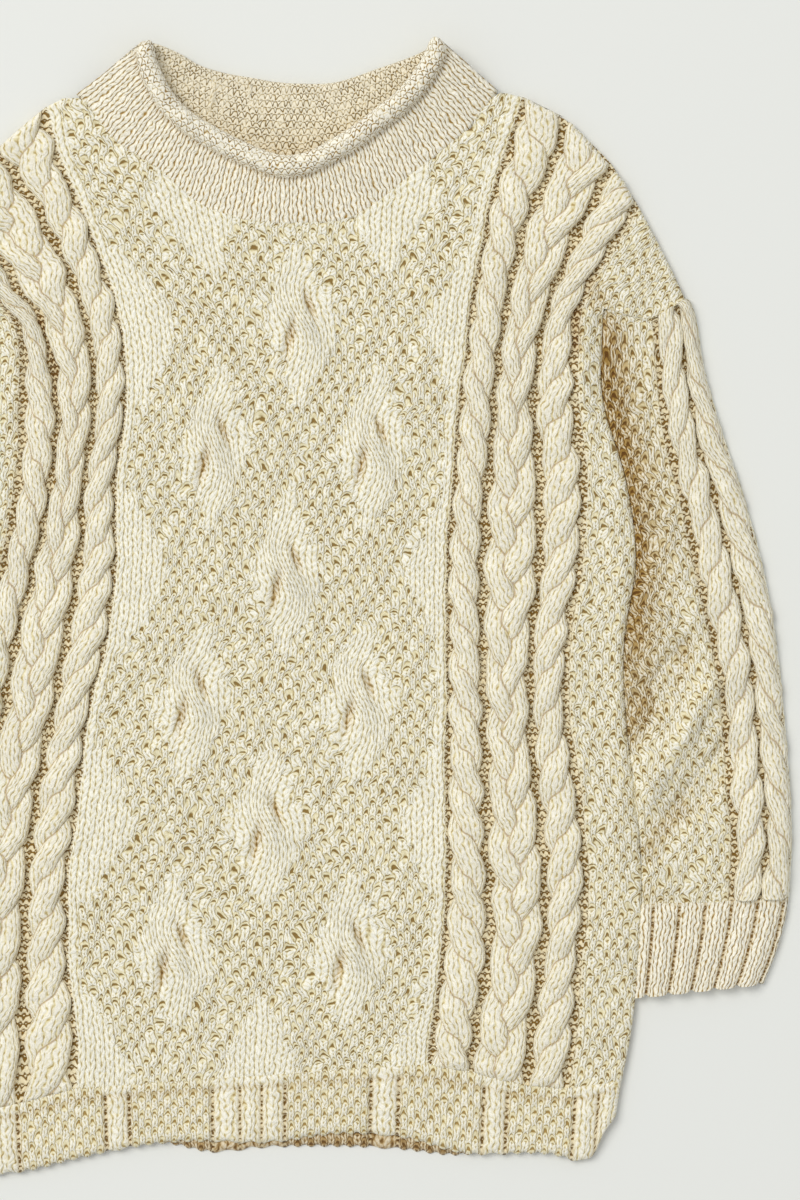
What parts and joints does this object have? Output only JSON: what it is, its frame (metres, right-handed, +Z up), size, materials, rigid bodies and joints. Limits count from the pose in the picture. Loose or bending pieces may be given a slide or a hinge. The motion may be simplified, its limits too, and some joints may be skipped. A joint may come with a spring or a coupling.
{
  "type": "cable knit sweater",
  "caption": "Oversized long-sleeved pullover in cream cable knit with a funnel neck whose edge rolls outwards, laid flat with its front up.",
  "frame": {"origin": "centre of the footprint, on the surface the sweater lies on", "axes": "+Y from the hem to the neck, +Z up from the surface, +X to the viewer's right of the front"},
  "size_m": [0.746, 0.8032, 0.0295],
  "materials": {
    "front": "cream wool in moss stitch and cables",
    "back": "cream wool knit",
    "hem_front": "cream wool in moss stitch and ribs",
    "hem_back": "cream wool in moss stitch and ribs",
    "sleeve_left": "cream wool in moss stitch and cables",
    "sleeve_right": "cream wool in moss stitch and cables",
    "cuff_left": "cream wool in ribs",
    "cuff_right": "cream wool in ribs",
    "neckband_front": "cream wool in stockinette",
    "neckband_back": "cream wool in reverse stockinette"
  },
  "bodies": {
    "root": {"front": "front", "back": "back", "hem_front": "hem_front", "hem_back": "hem_back", "sleeve_left": "sleeve_left", "sleeve_right": "sleeve_right", "cuff_left": "cuff_left", "cuff_right": "cuff_right", "neckband_front": "neckband_front", "neckband_back": "neckband_back"}
  },
  "joints": []
}
